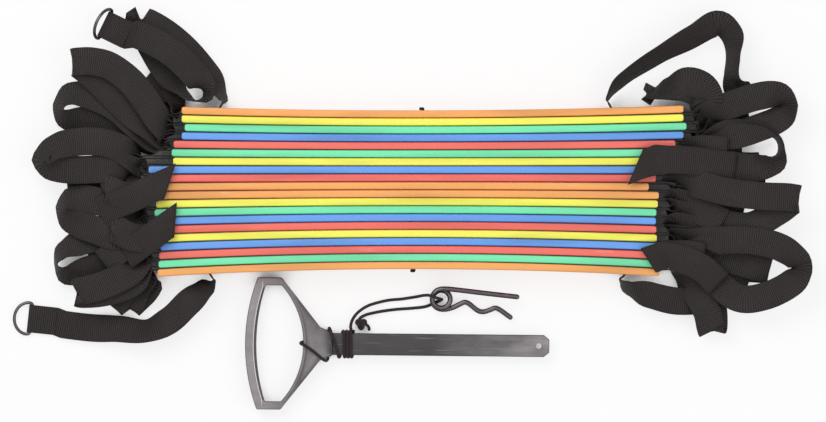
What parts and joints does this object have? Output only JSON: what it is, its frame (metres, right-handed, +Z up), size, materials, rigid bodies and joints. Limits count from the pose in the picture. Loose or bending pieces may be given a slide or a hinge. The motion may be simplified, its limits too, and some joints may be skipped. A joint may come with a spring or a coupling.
{
  "type": "agility ladder",
  "caption": "Folded agility ladder: flat coloured rungs tied in a stack on two looped webbing straps, with a hand holder, lanyard and spring clip.",
  "frame": {"origin": "middle of the whole layout on the surface it lies on", "axes": "+X along the rungs, to the right in the picture; +Y across the stack, away from the holder; +Z up"},
  "size_m": [0.7192, 0.3611, 0.0412],
  "materials": {
    "orange": "satin",
    "yellow": "satin",
    "green": "satin",
    "blue": "satin",
    "red": "satin",
    "webbing": "ribbed weave",
    "steel": "dark, semi-gloss",
    "cord": "braided",
    "holder": "satin moulded"
  },
  "bodies": {
    "stack": {"rung_01": "orange", "rung_02": "yellow", "rung_03": "green", "rung_04": "blue", "rung_05": "red", "rung_06": "green", "rung_07": "yellow", "rung_08": "blue", "rung_09": "red", "rung_10": "orange", "rung_11": "orange", "rung_12": "yellow", "rung_13": "green", "rung_14": "blue", "rung_15": "red", "rung_16": "yellow", "rung_17": "blue", "rung_18": "red", "rung_19": "green", "rung_20": "orange", "stack_tie_cord": "cord", "strap_left": "webbing", "strap_right": "webbing"},
    "upper_ring": {"d_ring_upper": "steel"},
    "lower_ring": {"d_ring_lower": "steel"},
    "holder": {"holder_handle": "holder", "lashing_cord": "cord", "lanyard_cord": "cord", "lanyard_knot": "cord"},
    "clip": {"r_clip": "steel"}
  },
  "joints": [
    {"name": "upper_ring_swing", "type": "hinge", "parent": "stack", "child": "upper_ring", "pos_m": [-0.27495, 0.1656, 0.0224], "axis": [0.4384, 0.8988, 0], "range_deg": [-55, 80]},
    {"name": "lower_ring_swing", "type": "hinge", "parent": "stack", "child": "lower_ring", "pos_m": [-0.34335, -0.099, 0.0032], "axis": [0.1045, 0.9945, 0], "range_deg": [0, 140]},
    {"name": "holder_lift", "type": "slide", "parent": "stack", "child": "holder", "axis": [0, 0, 1], "range_m": [0, 0.15]},
    {"name": "clip_swing", "type": "hinge", "parent": "holder", "child": "clip", "pos_m": [0.0271, -0.0813, 0.0057], "axis": [0, 0, 1], "range_deg": [-9, 14]}
  ]
}
